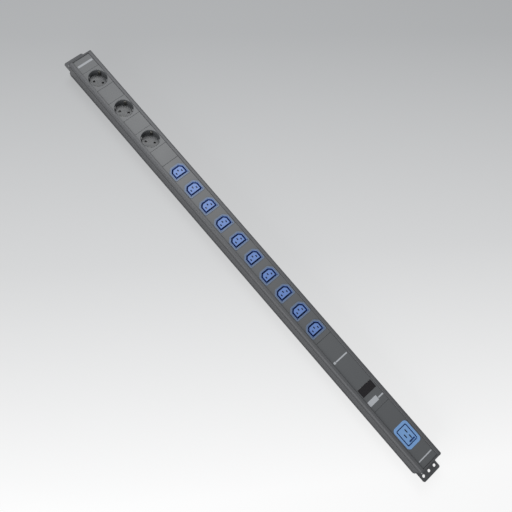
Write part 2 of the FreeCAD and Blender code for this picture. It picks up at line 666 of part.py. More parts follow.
def bus_carrier():
    x = (BUS_FAR_END, BUS_NEAR_END)
    block_whole = block(x, around(0, CARRIER_WIDTH), (WALL, BUS_TOP))
    tools = []
    for y in BUS_ROWS:
        slot_width = BUS_WIDTH + 2 * BUS_SIDE_CLEARANCE
        tools.append(block(x, around(y, slot_width), (BUS_TOP - BUS_HEIGHT, BUS_TOP)))
    for side in (-1, 1):
        hollow_y = sorted((side * CARRIER_RIB / 2, side * (CARRIER_WIDTH / 2 - CARRIER_RIB)))
        tools.append(block(x, hollow_y, (WALL, BUS_TOP - CARRIER_TOP_THICKNESS)))
    return cut(block_whole, tools)


# ---------------------------------------------------------------- meter

def board_corners():
    """The four posts that carry the board."""
    near = METER_NEAR - BOARD_INSET - POST_INSET
    far = METER_NEAR - BOARD_INSET - BOARD_LENGTH + POST_INSET
    half = BOARD_WIDTH / 2 - POST_INSET
    return [(x, y) for x in (far, near) for y in (-half, half)]


def window_block(grow, z):
    return block(around(WINDOW_X, WINDOW_SIZE[0] + 2 * grow), around(0, WINDOW_SIZE[1] + 2 * grow), z)


def meter_cover():
    pieces = [cover(METER_FAR, METER_NEAR)]
    tools = [window_block(0, (COVER_BOTTOM, FACE_Z))]
    for x, y in board_corners():
        height = COVER_BOTTOM - BOARD_TOP
        pieces.append(rod(POST_RADIUS, (x, y, BOARD_TOP), (0, 0, 1), height))
        tools.append(rod(POST_BORE, (x, y, BOARD_TOP), (0, 0, 1), height))
    return cut(fuse(pieces), tools)


def display_window():
    """A dark lens in the cover, held from behind by its flange."""
    lens = window_block(-FIT_CLEARANCE, (COVER_BOTTOM, FACE_Z - WINDOW_SETBACK))
    flange = window_block(WINDOW_FLANGE, (COVER_BOTTOM - WINDOW_FLANGE_THICKNESS, COVER_BOTTOM))
    return fuse([lens, flange])


def display_module():
    """The digit block on the board, right behind the lens."""
    return window_block(-DISPLAY_INSET, (BOARD_TOP, BOARD_TOP + DISPLAY_HEIGHT))


def meter_board():
    """The circuit board with its supply block, a capacitor and a terminal strip beneath."""
    far = METER_NEAR - BOARD_INSET - BOARD_LENGTH
    under = BOARD_TOP - BOARD_THICKNESS
    plate = block((far, far + BOARD_LENGTH), around(0, BOARD_WIDTH), (under, BOARD_TOP))
    pieces = [plate]
    for size, place in ((SUPPLY_BLOCK, SUPPLY_PLACE), (TERMINAL_BLOCK, TERMINAL_PLACE)):
        pieces.append(block(around(far + place[0], size[0]), around(place[1], size[1]),
                            (under - size[2], under)))
    can = (far + CAPACITOR_PLACE[0], CAPACITOR_PLACE[1], under - CAPACITOR_SIZE[1])
    pieces.append(rod(CAPACITOR_SIZE[0] / 2, can, (0, 0, 1), CAPACITOR_SIZE[1]))
    holes = []
    for x, y in board_corners():
        holes.append(rod(POST_BORE + COVER_CLEARANCE, (x, y, under), (0, 0, 1), BOARD_THICKNESS))
    return cut(fuse(pieces), holes)


def meter_screws():
    screws = []
    under = BOARD_TOP - BOARD_THICKNESS
    for x, y in board_corners():
        shank = rod(POST_BORE - FIT_CLEARANCE, (x, y, under), (0, 0, 1), BOARD_SCREW_LENGTH)
        head = rod(BOARD_SCREW_HEAD / 2, (x, y, under - POST_BORE * 2), (0, 0, 1), POST_BORE * 2)
        screws.append(fuse([shank, head]))
    return Part.makeCompound(screws)


def current_transformer():
    x = around(TRANSFORMER_X, TRANSFORMER_SIZE[0])
    y = BUS_SPACING
    under = BOARD_TOP - BOARD_THICKNESS
    body = block(x, around(y, TRANSFORMER_SIZE[1]), (BUS_TOP + TRANSFORMER_FOOT, under))
    middle = BRIDGE_TOP - BUS_HEIGHT / 2
    window = block(x, around(y, TRANSFORMER_WINDOW[0]), around(middle, TRANSFORMER_WINDOW[1]))
    return body.cut(window)


# ---------------------------------------------------------------- power inlet

INLET_FACE = CAP_FACE + INLET_FLANGE_THICKNESS
INLET_FLOOR = INLET_FACE - INLET_RECESS
INLET_REAR = INLET_FLOOR - INLET_BACK
INLET_PINS = [(C19_PIN_SPACING / 2, INLET_HEIGHT - C19_EARTH_OFFSET / 2),
              (-C19_PIN_SPACING / 2, INLET_HEIGHT - C19_EARTH_OFFSET / 2),
              (0, INLET_HEIGHT + C19_EARTH_OFFSET / 2)]


def inlet_column(grow, x):
    corners = rectangle_x(x[0], around(0, INLET_CAVITY[0] + 2 * grow),
                          around(INLET_HEIGHT, INLET_CAVITY[1] + 2 * grow))
    return slab(corners, INLET_CORNER, Vector(x[1] - x[0], 0, 0))


def power_inlet():
    flange = inlet_column(INLET_WALL + INLET_FLANGE, (CAP_FACE, INLET_FACE))
    body = inlet_column(INLET_WALL, (INLET_REAR, CAP_FACE))
    tools = [inlet_column(0, (INLET_FLOOR, INLET_FACE))]
    for y, z in INLET_PINS:
        tools.append(block((INLET_REAR, INLET_FLOOR), around(y, BLADE_SIZE[0] + 2 * FIT_CLEARANCE),
                           around(z, BLADE_SIZE[1] + 2 * FIT_CLEARANCE)))
    return cut(fuse([flange, body]), tools)


def inlet_pins():
    blades = []
    for y, z in INLET_PINS:
        x = (INLET_REAR - BLADE_TAB, INLET_FACE - BLADE_INSET)
        blades.append(block(x, around(y, BLADE_SIZE[0]), around(z, BLADE_SIZE[1])))
    return Part.makeCompound(blades)


def inlet_leads():
    """Insulated leads from the inlet's tabs down onto the ends of the bars."""
    leads = []
    tab = INLET_REAR - BLADE_TAB
    foot = BUS_NEAR_END - LEAD_DIAMETER / 2 - LEAD_END_MARGIN
    for y, z in INLET_PINS:
        bend = Vector(foot + LEAD_BEND, y, z - LEAD_BEND)
        slant = LEAD_BEND / math.sqrt(2)
        down = Part.LineSegment(Vector(foot, y, BUS_TOP), Vector(foot, y, z - LEAD_BEND))
        turn = Part.Arc(Vector(foot, y, z - LEAD_BEND), bend + Vector(-slant, 0, slant),
                        Vector(foot + LEAD_BEND, y, z))
        out = Part.LineSegment(Vector(foot + LEAD_BEND, y, z), Vector(tab, y, z))
        path = Part.Wire([down.toShape(), turn.toShape(), out.toShape()])
        ring = Part.Circle(Vector(foot, y, BUS_TOP), Vector(0, 0, 1), LEAD_DIAMETER / 2)
        leads.append(path.makePipeShell([Part.Wire([ring.toShape()])], True, True))
    return Part.makeCompound(leads)


# ---------------------------------------------------------------- every piece under its own name

def pieces():
    """Each sub-part's name with its shape."""
    yield "housing", housing()
    yield "far_end_cap", end_cap(-1)
    yield "near_end_cap", near_end_cap()
    yield "far_bracket", bracket(-1)
    yield "near_bracket", bracket(1)
    yield "end_screws", end_screws()
    yield "far_blank_cover", cover(EDGES[0], EDGES[1])
    for i in range(3):
        yield f"spacer_cover_{i + 1}", cover(EDGES[2 + 2 * i], EDGES[3 + 2 * i])
        yield f"schuko_socket_{i + 1}", schuko_socket(i)
        yield f"schuko_shutter_{i + 1}", schuko_shutter(i)
        yield f"schuko_base_{i + 1}", schuko_base(i)
        yield f"schuko_earth_clip_{i + 1}", schuko_earth_clip(i)
    yield "schuko_pin_sleeves", schuko_sleeves()
    yield "c13_cover", c13_cover()
    for i in range(C13_COUNT):
        yield f"c13_outlet_{i + 1}", c13_outlet(i)
        yield f"c13_contacts_{i + 1}", contact_set(C13_CENTRES[i], C13_SLOTS, C13_SLOT)
    yield "c19_cover", c19_cover()
    yield "c19_outlet", c19_outlet()
    yield "c19_contacts", contact_set(C19_X, C19_SLOTS, C19_SLOT)
    yield "meter_cover", meter_cover()
    yield "display_window", display_window()
    yield "display_module", display_module()
    yield "meter_board", meter_board()
    yield "meter_screws", meter_screws()
    yield "current_transformer", current_transformer()
    yield "line_bus_bar", line_bus_bar()
    yield "neutral_bus_bar", bus_bar(-BUS_SPACING)
    yield "earth_bus_bar", bus_bar(0)
    yield "bus_carrier", bus_carrier()
    yield "power_inlet", power_inlet()
    yield "inlet_pins", inlet_pins()
    yield "inlet_leads", inlet_leads()


os.makedirs("parts", exist_ok=True)
for name, shape in pieces():
    shape.exportStep(f"parts/{name}.step")
    print(f"{name}: {len(shape.Solids)} solid(s), valid {shape.isValid()}, {shape.Volume:.0f} mm3")
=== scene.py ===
# %% [markdown]
# # A rack power strip
# The real object is an aluminium channel a little over a metre long. Snap-in covers and socket
# modules lie in its mouth, and an angle bracket at each end screws it to a rack. Its metal and
# moulded pieces come already shaped and sized, so this lesson does what is left: it gives every
# surface a finish, remodels the pieces whose soft edges catch the light, and lights the scene.
#
# Everything is in metres. +X runs along the strip to the end with the large outlet, +Y across
# it, and +Z out of its front. The strip lies on its rear face.

# %% Load the fixed frame
import json
import math

import bmesh
import bpy
from mathutils import Matrix, Vector


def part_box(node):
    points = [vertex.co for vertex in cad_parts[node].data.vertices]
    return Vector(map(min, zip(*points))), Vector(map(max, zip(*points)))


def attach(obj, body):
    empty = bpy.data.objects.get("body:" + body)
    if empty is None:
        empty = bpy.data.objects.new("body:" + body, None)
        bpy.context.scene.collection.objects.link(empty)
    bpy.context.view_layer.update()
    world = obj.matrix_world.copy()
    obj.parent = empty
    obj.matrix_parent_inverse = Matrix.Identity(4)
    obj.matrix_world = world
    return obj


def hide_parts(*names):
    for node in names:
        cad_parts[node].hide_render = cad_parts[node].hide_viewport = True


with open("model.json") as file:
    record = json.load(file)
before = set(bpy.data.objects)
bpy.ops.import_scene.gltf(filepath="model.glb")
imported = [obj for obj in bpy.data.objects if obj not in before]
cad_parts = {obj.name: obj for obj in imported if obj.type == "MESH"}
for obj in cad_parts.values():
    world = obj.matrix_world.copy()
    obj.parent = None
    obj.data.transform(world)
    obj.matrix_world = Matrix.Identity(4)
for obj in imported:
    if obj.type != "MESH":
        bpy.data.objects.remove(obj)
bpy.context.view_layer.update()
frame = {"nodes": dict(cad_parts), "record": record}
nodes = frame["nodes"]

# %% [markdown]
# ## The camera
# The camera comes first, because each finish is judged through it. It stands over the strip, a
# little to the side, and is rolled so that the strip runs from one corner of the view to the other.
# A look-at rotation points it, and a turn about its own axis adds the roll.

# %% Camera
CAMERA_PLACE = Vector((0.15738, -0.38532, 1.30721))
CAMERA_AIM = Vector((0.01859, 0.00593, 0.050))
CAMERA_ROLL = math.radians(30.457)
CAMERA_LENS = 45.483

camera_data = bpy.data.cameras.new("camera")
camera_data.lens = CAMERA_LENS
camera_data.sensor_width = 36.0
camera_data.clip_start = 0.01
camera = bpy.data.objects.new("camera", camera_data)
bpy.context.scene.collection.objects.link(camera)
look_at = (CAMERA_AIM - CAMERA_PLACE).to_track_quat("-Z", "Y").to_matrix().to_4x4()
roll = Matrix.Rotation(CAMERA_ROLL, 4, "Z")
camera.matrix_world = Matrix.Translation(CAMERA_PLACE) @ look_at @ roll
bpy.context.scene.camera = camera
bpy.context.scene.view_settings.view_transform = "Standard"
print("camera distance:", round((CAMERA_AIM - CAMERA_PLACE).length, 3), "m")

# %% [markdown]
# ## Writing shader maths
# A node tree is easier to read as a sum. This class wraps a node's output, so that `a * b` or
# `1 - mask` adds the Math node for it. Its `node` method adds any other node: the settings go
# in first, because some of them change which sockets the node has, and then the inputs.

# %% A socket that Python can calculate with


class Socket:
    """The output of a shader node, or an empty start in a node tree."""

    def __init__(self, tree, output=None):
        self.tree = tree
        self.output = output

    def node(self, kind, inputs, out=0, stops=None, **settings):
        """Adds one node. settings are its properties, stops a ramp's (place, colour) pairs."""
        made = self.tree.nodes.new("ShaderNode" + kind)
        for name, value in settings.items():
            setattr(made, name, value)
        if stops:
            ramp = made.color_ramp.elements
            while len(ramp) < len(stops):
                ramp.new(1.0)
            for element, (place, colour) in zip(ramp, stops):
                element.position = place
                element.color = colour
        for name, value in inputs.items():
            if isinstance(value, Socket):
                self.tree.links.new(value.output, made.inputs[name])
            else:
                made.inputs[name].default_value = value
        return Socket(self.tree, made.outputs[out])

    def math(self, operation, *values):
        """Adds one Math node."""
        return self.node("Math", dict(enumerate(values)), operation=operation)

    def __add__(self, other):
        return self.math("ADD", self, other)

    __radd__ = __add__

    def __sub__(self, other):
        return self.math("SUBTRACT", self, other)

    def __rsub__(self, other):
        return self.math("SUBTRACT", other, self)

    def __mul__(self, other):
        return self.math("MULTIPLY", self, other)

    __rmul__ = __mul__

    def mix(self, first, second):
        """The colour between two colours, with this value as the factor."""
        return self.node("Mix", {0: self, 6: first, 7: second}, out=2, data_type="RGBA")


# %% [markdown]
# Colours are easiest to name as the 0 to 255 numbers of a paint program. A shader works with
# light, which is not in step with those numbers, so each colour is converted once. The two
# branches are the two parts of the standard sRGB curve.

# %% Colours


def paint(red, green, blue):
    """A shader colour from the 0 to 255 numbers of a paint program."""
    light = []
    for value in (red, green, blue):
        share = value / 255
        light.append(share / 12.92 if share <= 0.04045 else ((share + 0.055) / 1.055) ** 2.4)
    return (*light, 1.0)


def shade(colour, factor):
    """The same colour, lighter or darker."""
    return (*[min(1.0, channel * factor) for channel in colour[:3]], 1.0)


print("middle grey as light:", round(paint(128, 128, 128)[0], 3))


# %% [markdown]
# ## One recipe for most finishes
# Anodising, moulded plastic and paint differ in colour, gloss and in the size of their texture,
# but the way to build them is the same: a slow cloud of colour, a fast grain that also tilts
# the surface a little, and a roughness that follows both. A grain can be stretched along X, as
# the drawing lines of an extrusion are. The pattern reads Object coordinates, so it has its
# real size on every piece.
#
# In the call, grain and cloud are the sizes of the two patterns and depth is the height of the
# grain. stretch is how much longer the grain is along X, variation is how far the colour strays,
# and tint is the colour of the lighter patches where that isn't the main colour.

# %% The finish recipe
MM = 0.001
CLOUD_SHARE = 0.65
CLOUD_DETAIL = 3.0
GRAIN_DETAIL = 2.0


def finish(name, colour, roughness, metallic=0.0, grain=0.4 * MM, depth=0.02 * MM, stretch=1.0,
           variation=0.06, cloud=60 * MM, roughness_spread=0.08, tint=None, specular=0.5):
    """A material with a cloud of colour, a grain of that size and depth, and uneven gloss."""
    material = bpy.data.materials.new(name)
    material.use_nodes = True
    tree = material.node_tree
    start = Socket(tree)
    place = start.node("TexCoord", {}, out="Object")
    stretched = start.node("Mapping", {"Vector": place, "Scale": (1 / stretch, 1.0, 1.0)})
    clouds = start.node("TexNoise", {"Vector": place, "Scale": 1 / cloud,
                                     "Detail": CLOUD_DETAIL}, out="Fac")
    fine = start.node("TexNoise", {"Vector": stretched, "Scale": 1 / grain,
                                   "Detail": GRAIN_DETAIL}, out="Fac")
    darker, lighter = shade(colour, 1 - variation), shade(tint or colour, 1 + variation)
    mottled = (clouds * CLOUD_SHARE + fine * (1 - CLOUD_SHARE)).mix(darker, lighter)
    shader = tree.nodes["Principled BSDF"]
    uneven = (clouds + fine - 1.0) * roughness_spread + roughness
    bump = start.node("Bump", {"Height": fine, "Distance": depth, "Strength": 1.0}, out="Normal")
    for socket, value in (("Base Color", mottled), ("Roughness", uneven), ("Normal", bump)):
        tree.links.new(value.output, shader.inputs[socket])
    shader.inputs["Metallic"].default_value = metallic
    shader.inputs["Specular IOR Level"].default_value = specular
    return material


# %% [markdown]
# ## The finishes of this strip
# - The channel is drawn aluminium, anodised dark grey. The dye hides most of the metal, so the
#   finish is only slightly metallic: satin, with faint lines along the strip.
# - Covers, socket modules and end caps are grey moulded plastic with a fine spark-eroded grain.
# - The flat-blade outlets are blue nylon, a little glossier than the covers, and the large one
#   is a lighter blue.
# - Brackets are steel with a sprayed coat, whose skin has a shallow orange-peel ripple.
# - Inside are copper, brass and nickel, which show in the slots and the pin holes.

# %% Finishes
finishes = {
    "anodised_channel": finish("anodised_channel", paint(96, 97, 99), 0.50, metallic=0.10,
                               grain=0.5 * MM, depth=0.004 * MM, stretch=120.0,
                               variation=0.05, cloud=140 * MM, roughness_spread=0.10,
                               specular=0.28),
    "cover_plastic": finish("cover_plastic", paint(92, 94, 96), 0.48, grain=0.35 * MM,
                            depth=0.003 * MM, variation=0.05, specular=0.6),
    "end_cap_plastic": finish("end_cap_plastic", paint(86, 87, 89), 0.60, grain=0.4 * MM,
                              depth=0.007 * MM, specular=0.25),
    "bracket_paint": finish("bracket_paint", paint(99, 100, 102), 0.70, grain=1.1 * MM,
                            depth=0.008 * MM, specular=0.15),
    "screw_steel": finish("screw_steel", paint(172, 174, 176), 0.30, metallic=1.0,
                          grain=0.3 * MM, depth=0.004 * MM, roughness_spread=0.12),
    "outlet_blue": finish("outlet_blue", paint(102, 135, 198), 0.42, grain=0.3 * MM,
                          depth=0.004 * MM, variation=0.05, cloud=12 * MM,
                          tint=paint(109, 140, 200), specular=0.4),
    "large_blue": finish("large_blue", paint(120, 162, 216), 0.40, grain=0.3 * MM,
                         depth=0.004 * MM, variation=0.05, cloud=12 * MM,
                         tint=paint(128, 170, 220)),
    "print": finish("print_grey", paint(158, 161, 165), 0.5, grain=0.25 * MM, depth=0.004 * MM),
    "pale_print": finish("print_pale", paint(184, 187, 191), 0.5, grain=0.25 * MM,
                         depth=0.004 * MM),
    "bezel": finish("bezel_plastic", paint(102, 118, 142), 0.48, grain=0.35 * MM,
                    depth=0.006 * MM, variation=0.05),
    "shutter_plastic": finish("shutter_plastic", paint(52, 53, 55), 0.45),
    "carrier_plastic": finish("carrier_plastic", paint(196, 192, 180), 0.55),
    "contact_nickel": finish("contact_nickel", paint(98, 97, 93), 0.50, metallic=0.8,
                             grain=0.3 * MM, depth=0.003 * MM, stretch=6.0),
    "contact_brass": finish("contact_brass", paint(190, 158, 92), 0.30, metallic=1.0,
                            grain=0.3 * MM, depth=0.003 * MM, stretch=6.0),
    "window_lens": finish("window_lens", paint(30, 28, 31), 0.12, grain=2.0 * MM,
                          depth=0.001 * MM, roughness_spread=0.03),
    "display_digits": finish("display_digits", paint(34, 30, 32), 0.35),
    "board_green": finish("board_green", paint(24, 74, 46), 0.35, grain=0.8 * MM),
    "transformer_black": finish("transformer_black", paint(30, 30, 32), 0.42),
    "bar_copper": finish("bar_copper", paint(196, 122, 84), 0.32, metallic=1.0,
                         grain=0.4 * MM, depth=0.004 * MM, stretch=60.0),
    "inlet_black": finish("inlet_black", paint(40, 40, 42), 0.42, grain=0.3 * MM,
                          depth=0.01 * MM),
    "lead_insulation": finish("lead_insulation", paint(60, 44, 34), 0.48),
}
print("finishes:", len(finishes))

# %% [markdown]
# Every piece of the frame names the slot of its finish in the record, so one loop dresses them.

# %% Dress the frame
node_slots = {row["node"]: row["material_slot"] for row in frame["record"]["subparts"]}
for name, piece in nodes.items():
    piece.data.materials.clear()
    piece.data.materials.append(finishes[node_slots[name]])
print("dressed:", len(node_slots))

# %% [markdown]
# ## Modelling by hand, in code
# Each new piece is made as one would at the screen: add a primitive at its size, choose faces in
# edit mode, then inset, extrude and bevel. An operator works on whatever is selected, so every
# piece starts with nothing selected, and faces are chosen by where they are.

# %% Starting a piece and choosing its faces
NEAR = 0.01 * MM


def start_clean():
    """Leaves edit mode and deselects everything."""
    if bpy.context.object and bpy.context.object.mode == "EDIT":
        bpy.ops.object.mode_set(mode="OBJECT")
    bpy.ops.object.select_all(action="DESELECT")


def add_block(low, high):
    """A new block between two corners, in edit mode."""
    start_clean()
    low, high = Vector(low), Vector(high)
    bpy.ops.mesh.primitive_cube_add(size=1, location=(low + high) / 2, scale=high - low)
    bpy.ops.object.transform_apply(location=True, rotation=True, scale=True)
    bpy.ops.object.mode_set(mode="EDIT")
    return bpy.context.object


def choose(test, kind="FACE"):
    """Selects the faces, edges or vertices of the piece in edit mode that pass a test."""
    bpy.ops.mesh.select_mode(type=kind)
    bpy.ops.mesh.select_all(action="DESELECT")
    data = bpy.context.object.data
    mesh = bmesh.from_edit_mesh(data)
    parts = {"FACE": mesh.faces, "EDGE": mesh.edges, "VERT": mesh.verts}[kind]
    chosen = [part for part in parts if test(part)]
    for part in chosen:
        part.select_set(True)
    mesh.select_flush_mode()
    bmesh.update_edit_mesh(data)
    return len(chosen)


def is_level(face):
    """Whether a face looks straight up or straight down."""
    return abs(face.normal.z) > 0.9


def level_face(z, up=True):
    """A test for the level faces at one height."""
    return lambda face: (abs(face.calc_center_median().z - z) < NEAR
                         and is_level(face) and (face.normal.z > 0) == up)


print("places match within", round(NEAR / MM, 3), "mm")

# %% [markdown]
# The edit steps themselves are single operators. They get short names here, because the pieces
# below use them again and again, with only a distance or two changed.

# %% Edit steps


def extrude(x=0.0, y=0.0, z=0.0):
    """Extrudes what is selected and moves it."""
    bpy.ops.mesh.extrude_region_move(TRANSFORM_OT_translate={"value": (x, y, z)})


def inset(thickness):
    """Insets the selected faces, with the same width all round."""
    bpy.ops.mesh.inset(thickness=thickness, use_even_offset=True)


def stretch_chosen(middle, x=1.0, y=1.0):
    """Scales what is selected about a point."""
    bpy.ops.transform.resize(value=(x, y, 1.0), center_override=middle)


def outward():
    """Turns every face of the piece in edit mode outwards."""
    bpy.ops.mesh.select_all(action="SELECT")
    bpy.ops.mesh.normals_make_consistent(inside=False)


# %% [markdown]
# A shaped piece is then finished. Slots are cut by a boolean, and sharp edges get a narrow bevel,
# since no moulded edge is truly sharp and only a rounded one catches the light.

# %% Finishing steps
SHARP = math.radians(35)


def join(pieces):
    """Makes one object of several."""
    start_clean()
    for piece in pieces:
        piece.select_set(True)
    bpy.context.view_layer.objects.active = pieces[0]
    if len(pieces) > 1:
        bpy.ops.object.join()
    return pieces[0]


def carve(piece, tools, operation="DIFFERENCE"):
    """Cuts the tools out of a piece, or welds them to it, and removes them."""
    tool = join(tools)
    start_clean()
    bpy.context.view_layer.objects.active = piece
    piece.select_set(True)
    modifier = piece.modifiers.new("carve", "BOOLEAN")
    modifier.operation = operation
    modifier.solver = "EXACT"
    modifier.object = tool
    bpy.ops.object.modifier_apply(modifier="carve")
    bpy.data.objects.remove(tool)


def soften(piece, width, segments=2):
    """Rounds the sharp edges, and lets the rest shade smoothly."""
    start_clean()
    bpy.context.view_layer.objects.active = piece
    piece.select_set(True)
    bpy.ops.object.shade_smooth_by_angle(angle=SHARP)
    modifier = piece.modifiers.new("soften", "BEVEL")
    modifier.width = width
    modifier.segments = segments
    modifier.limit_method = "ANGLE"
    modifier.angle_limit = SHARP
    modifier.harden_normals = True
    bpy.ops.object.modifier_apply(modifier="soften")


# %% [markdown]
# Last, a piece gets its name and the finish of its slot, is hung on the empty of the body it rides
# on, and the pieces of the frame that it stands for are hidden.

# %% Naming a piece


def enter(piece, name, slot, replaced=(), body="strip", material=None):
    """Names a piece, dresses it, hangs it on its body and hides the pieces of the frame it
    replaces.
    """
    start_clean()
    piece.name = piece.data.name = name
    piece.data.materials.clear()
    piece.data.materials.append(material or finishes[slot])
    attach(piece, body)
    if replaced:
        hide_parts(*replaced)
    return piece


# %% [markdown]
# ## The small outlets
# Each one is a blue moulding: a deep well with a boss in it, which the hood of a plug surrounds,
# and three slots down to the contacts. Two cut corners key the plug. A blue-grey bezel frames it
# on the cover. The outline could be typed in point by point, but a plate with bevelled corners
# gives it in three steps, and insets then keep every wall parallel. The sizes come first.

# %% Sizes of a small outlet
FACE_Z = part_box("c13_cover")[1].z
C13_OPENING = (23.0 * MM, 30.4 * MM)
C13_CORNER = 3.3 * MM
C13_KEY = 6.5 * MM
C13_EDGE = 0.7 * MM
C13_GAP = 3.6 * MM
C13_WELL = 17.0 * MM
C13_SLOT = (4.6 * MM, 2.6 * MM)
C13_SLOTS = [(2 * MM, 7 * MM), (2 * MM, -7 * MM), (-2 * MM, 0.0)]
BEZEL_WIDTH = 4.2 * MM
BEZEL_CORNER = 3.9 * MM
BEZEL_PLAY = 0.05 * MM
BEZEL_HEIGHT = 0.9 * MM
EDGE_DROP = 0.2 * MM
BOSS_TOP = FACE_Z + 0.3 * MM
KEY_ROUNDING = 0.55
ROUND_STEPS = 6
KEY_STEPS = 4
CUT_UNDER = 1.0 * MM
CUT_OVER = 2.0 * MM
print("front of the covers:", round(FACE_Z / MM, 2), "mm up")

# %% [markdown]
# The plate starts as a plane. Bevelling its far corners cuts them off, and bevelling what is left
# rounds them. A key that grows with the plate keeps the band round it equally wide.

# %% The keyed plate


def keyed_plate(x, opening, grow, key, corner, z):
    """A flat plate, wider than the opening by grow, with two far corners cut off by key."""
    start_clean()
    bpy.ops.mesh.primitive_plane_add(size=1, location=(x, 0, z))
    plate = bpy.context.object
    plate.scale = (opening[0] + 2 * grow, opening[1] + 2 * grow, 1)
    bpy.ops.object.transform_apply(location=True, rotation=True, scale=True)
    bpy.ops.object.mode_set(mode="EDIT")
    if key:
        choose(lambda vertex: vertex.co.x < x, "VERT")
        cut_off = key + grow * (2 - math.sqrt(2))
        bpy.ops.mesh.bevel(offset=cut_off, segments=1, affect="VERTICES")
        choose(lambda vertex: vertex.co.x < x, "VERT")
        bpy.ops.mesh.bevel(offset=corner * KEY_ROUNDING, segments=KEY_STEPS,
                           affect="VERTICES")
        choose(lambda vertex: vertex.co.x > x, "VERT")
    else:
        bpy.ops.mesh.select_all(action="SELECT")
    bpy.ops.mesh.bevel(offset=corner, segments=ROUND_STEPS, affect="VERTICES")
    return plate


# %% [markdown]
# From the plate, extrude and inset give the moulding: down for the body, in for the edge, down
# for the well, in for the gap and up again for the boss. The bezel is a second plate, whose top
# and bottom are inset and bridged, which opens it.

# %% Building the moulding and the bezel


def slot_tools(x, slots, size, low, high):
    """Small blocks that cut the slots of an outlet."""
    tools = []
    for offset_x, y in slots:
        corner = Vector((x + offset_x, y, 0))
        half = Vector((size[0] / 2, size[1] / 2, 0))
        tools.append(add_block(corner - half + Vector((0, 0, low)),
                               corner + half + Vector((0, 0, high))))
    return tools


def outlet_insert(x, opening, edge, key, gap, well, back, slots, slot_size):
    """The moulding: edge, well and boss, with slots right through the boss."""
    top = FACE_Z + BEZEL_HEIGHT - EDGE_DROP
    insert = keyed_plate(x, opening, edge, key, C13_CORNER, top)
    bpy.ops.mesh.select_all(action="SELECT")
    extrude(z=back - top)
    outward()
    choose(level_face(top))
    inset(edge)
    extrude(z=FACE_Z - well - top)
    inset(gap)
    extrude(z=BOSS_TOP - FACE_Z + well)
    outward()
    carve(insert, slot_tools(x, slots, slot_size, back - CUT_UNDER, FACE_Z + CUT_OVER))
    return insert


def bezel_ring(x, opening, inner, outer, key, corner):
    """A flat ring round an outlet, standing on the cover."""
    top = FACE_Z + BEZEL_HEIGHT
    ring = keyed_plate(x, opening, outer, key, corner, top)
    bpy.ops.mesh.select_all(action="SELECT")
    extrude(z=-BEZEL_HEIGHT)
    outward()
    choose(is_level)
    bpy.ops.mesh.inset(thickness=outer - inner, use_even_offset=True, use_individual=True)
    bpy.ops.mesh.bridge_edge_loops()
    outward()
    return ring


# %% [markdown]
# The first outlet is made where the frame has it. The bezel's opening is a hair wider than the
# moulding, so that the two don't share a wall.

# %% One small outlet and its bezel


def middle_of(node):
    """The middle of a node's box."""
    low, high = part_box(node)
    return (low + high) / 2


first = middle_of("c13_outlet_1").x
outlet_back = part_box("c13_outlet_1")[0].z
insert = outlet_insert(first, C13_OPENING, C13_EDGE, C13_KEY, C13_GAP, C13_WELL, outlet_back,
                       C13_SLOTS, C13_SLOT)
soften(insert, 0.3 * MM)
bezel = bezel_ring(first, C13_OPENING, C13_EDGE + BEZEL_PLAY, BEZEL_WIDTH, C13_KEY,
                   BEZEL_CORNER)
soften(bezel, 0.35 * MM)
print("insert faces:", len(insert.data.polygons), "bezel faces:", len(bezel.data.polygons))

# %% [markdown]
# The outlet is modelled once. The other nine are copies with their own meshes, moved to where
# the frame has them.

# %% Ten small outlets


def copy_along(piece, x):
    """A copy with its own mesh, moved along the strip inside the mesh."""
    twin = piece.copy()
    twin.data = piece.data.copy()
    twin.data.transform(Matrix.Translation((x, 0, 0)))
    bpy.context.scene.collection.objects.link(twin)
    return twin


for number in range(1, 11):
    node = f"c13_outlet_{number}"
    away = middle_of(node).x - first
    here = insert if number == 1 else copy_along(insert, away)
    ring = bezel if number == 1 else copy_along(bezel, away)
    enter(here, f"small_outlet_{number}", "outlet_blue", [node])
    enter(ring, f"small_bezel_{number}", "cover_plastic", [node], material=finishes["bezel"])
print("small outlets: 10")

# %% [markdown]
# ## The large outlet
# It is one blue moulding with a broad rim of its own, and its blue is lighter. The steps are the
# same, with the rim first. A deep pocket at the near end of its boss takes the latch of a
# locking plug.

# %% The large outlet
C19_OPENING = (37.4 * MM, 27.6 * MM)
C19_RIM = (6.3 * MM, 4.5 * MM)
C19_GAP = 2.3 * MM
C19_CORNER = 7.6 * MM
C19_FLANGE = 2.5 * MM
C19_WELL = 20.0 * MM
C19_SLOT = (8.4 * MM, 2.6 * MM)
C19_SLOTS = [(6.5 * MM, 4 * MM), (-6.5 * MM, 4 * MM), (0.0, -4 * MM)]
LATCH_POCKET = (3.9 * MM, 15.0 * MM, 9.0 * MM)
LATCH_PLACE = (13.25 * MM, 2.5 * MM)

large_x = middle_of("c19_outlet").x
large_middle = Vector((large_x, 0, 0))
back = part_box("c19_outlet")[0].z
top = FACE_Z + BEZEL_HEIGHT
rim_size = (C19_OPENING[0] + 2 * C19_RIM[0], C19_OPENING[1] + 2 * C19_RIM[1])
large = keyed_plate(large_x, rim_size, 0.0, 0.0, C19_CORNER, top)
bpy.ops.mesh.select_all(action="SELECT")
extrude(z=-BEZEL_HEIGHT)
outward()
choose(level_face(FACE_Z, up=False))
inset(C19_FLANGE)
extrude(z=back - FACE_Z)
choose(level_face(top))
inset(C19_RIM[1])
squeeze = C19_OPENING[0] / (rim_size[0] - 2 * C19_RIM[1])
stretch_chosen(large_middle, x=squeeze)
extrude(z=FACE_Z - C19_WELL - top)
inset(C19_GAP)
extrude(z=BOSS_TOP - FACE_Z + C19_WELL)
outward()
tools = slot_tools(large_x, C19_SLOTS, C19_SLOT, back - CUT_UNDER, FACE_Z + CUT_OVER)
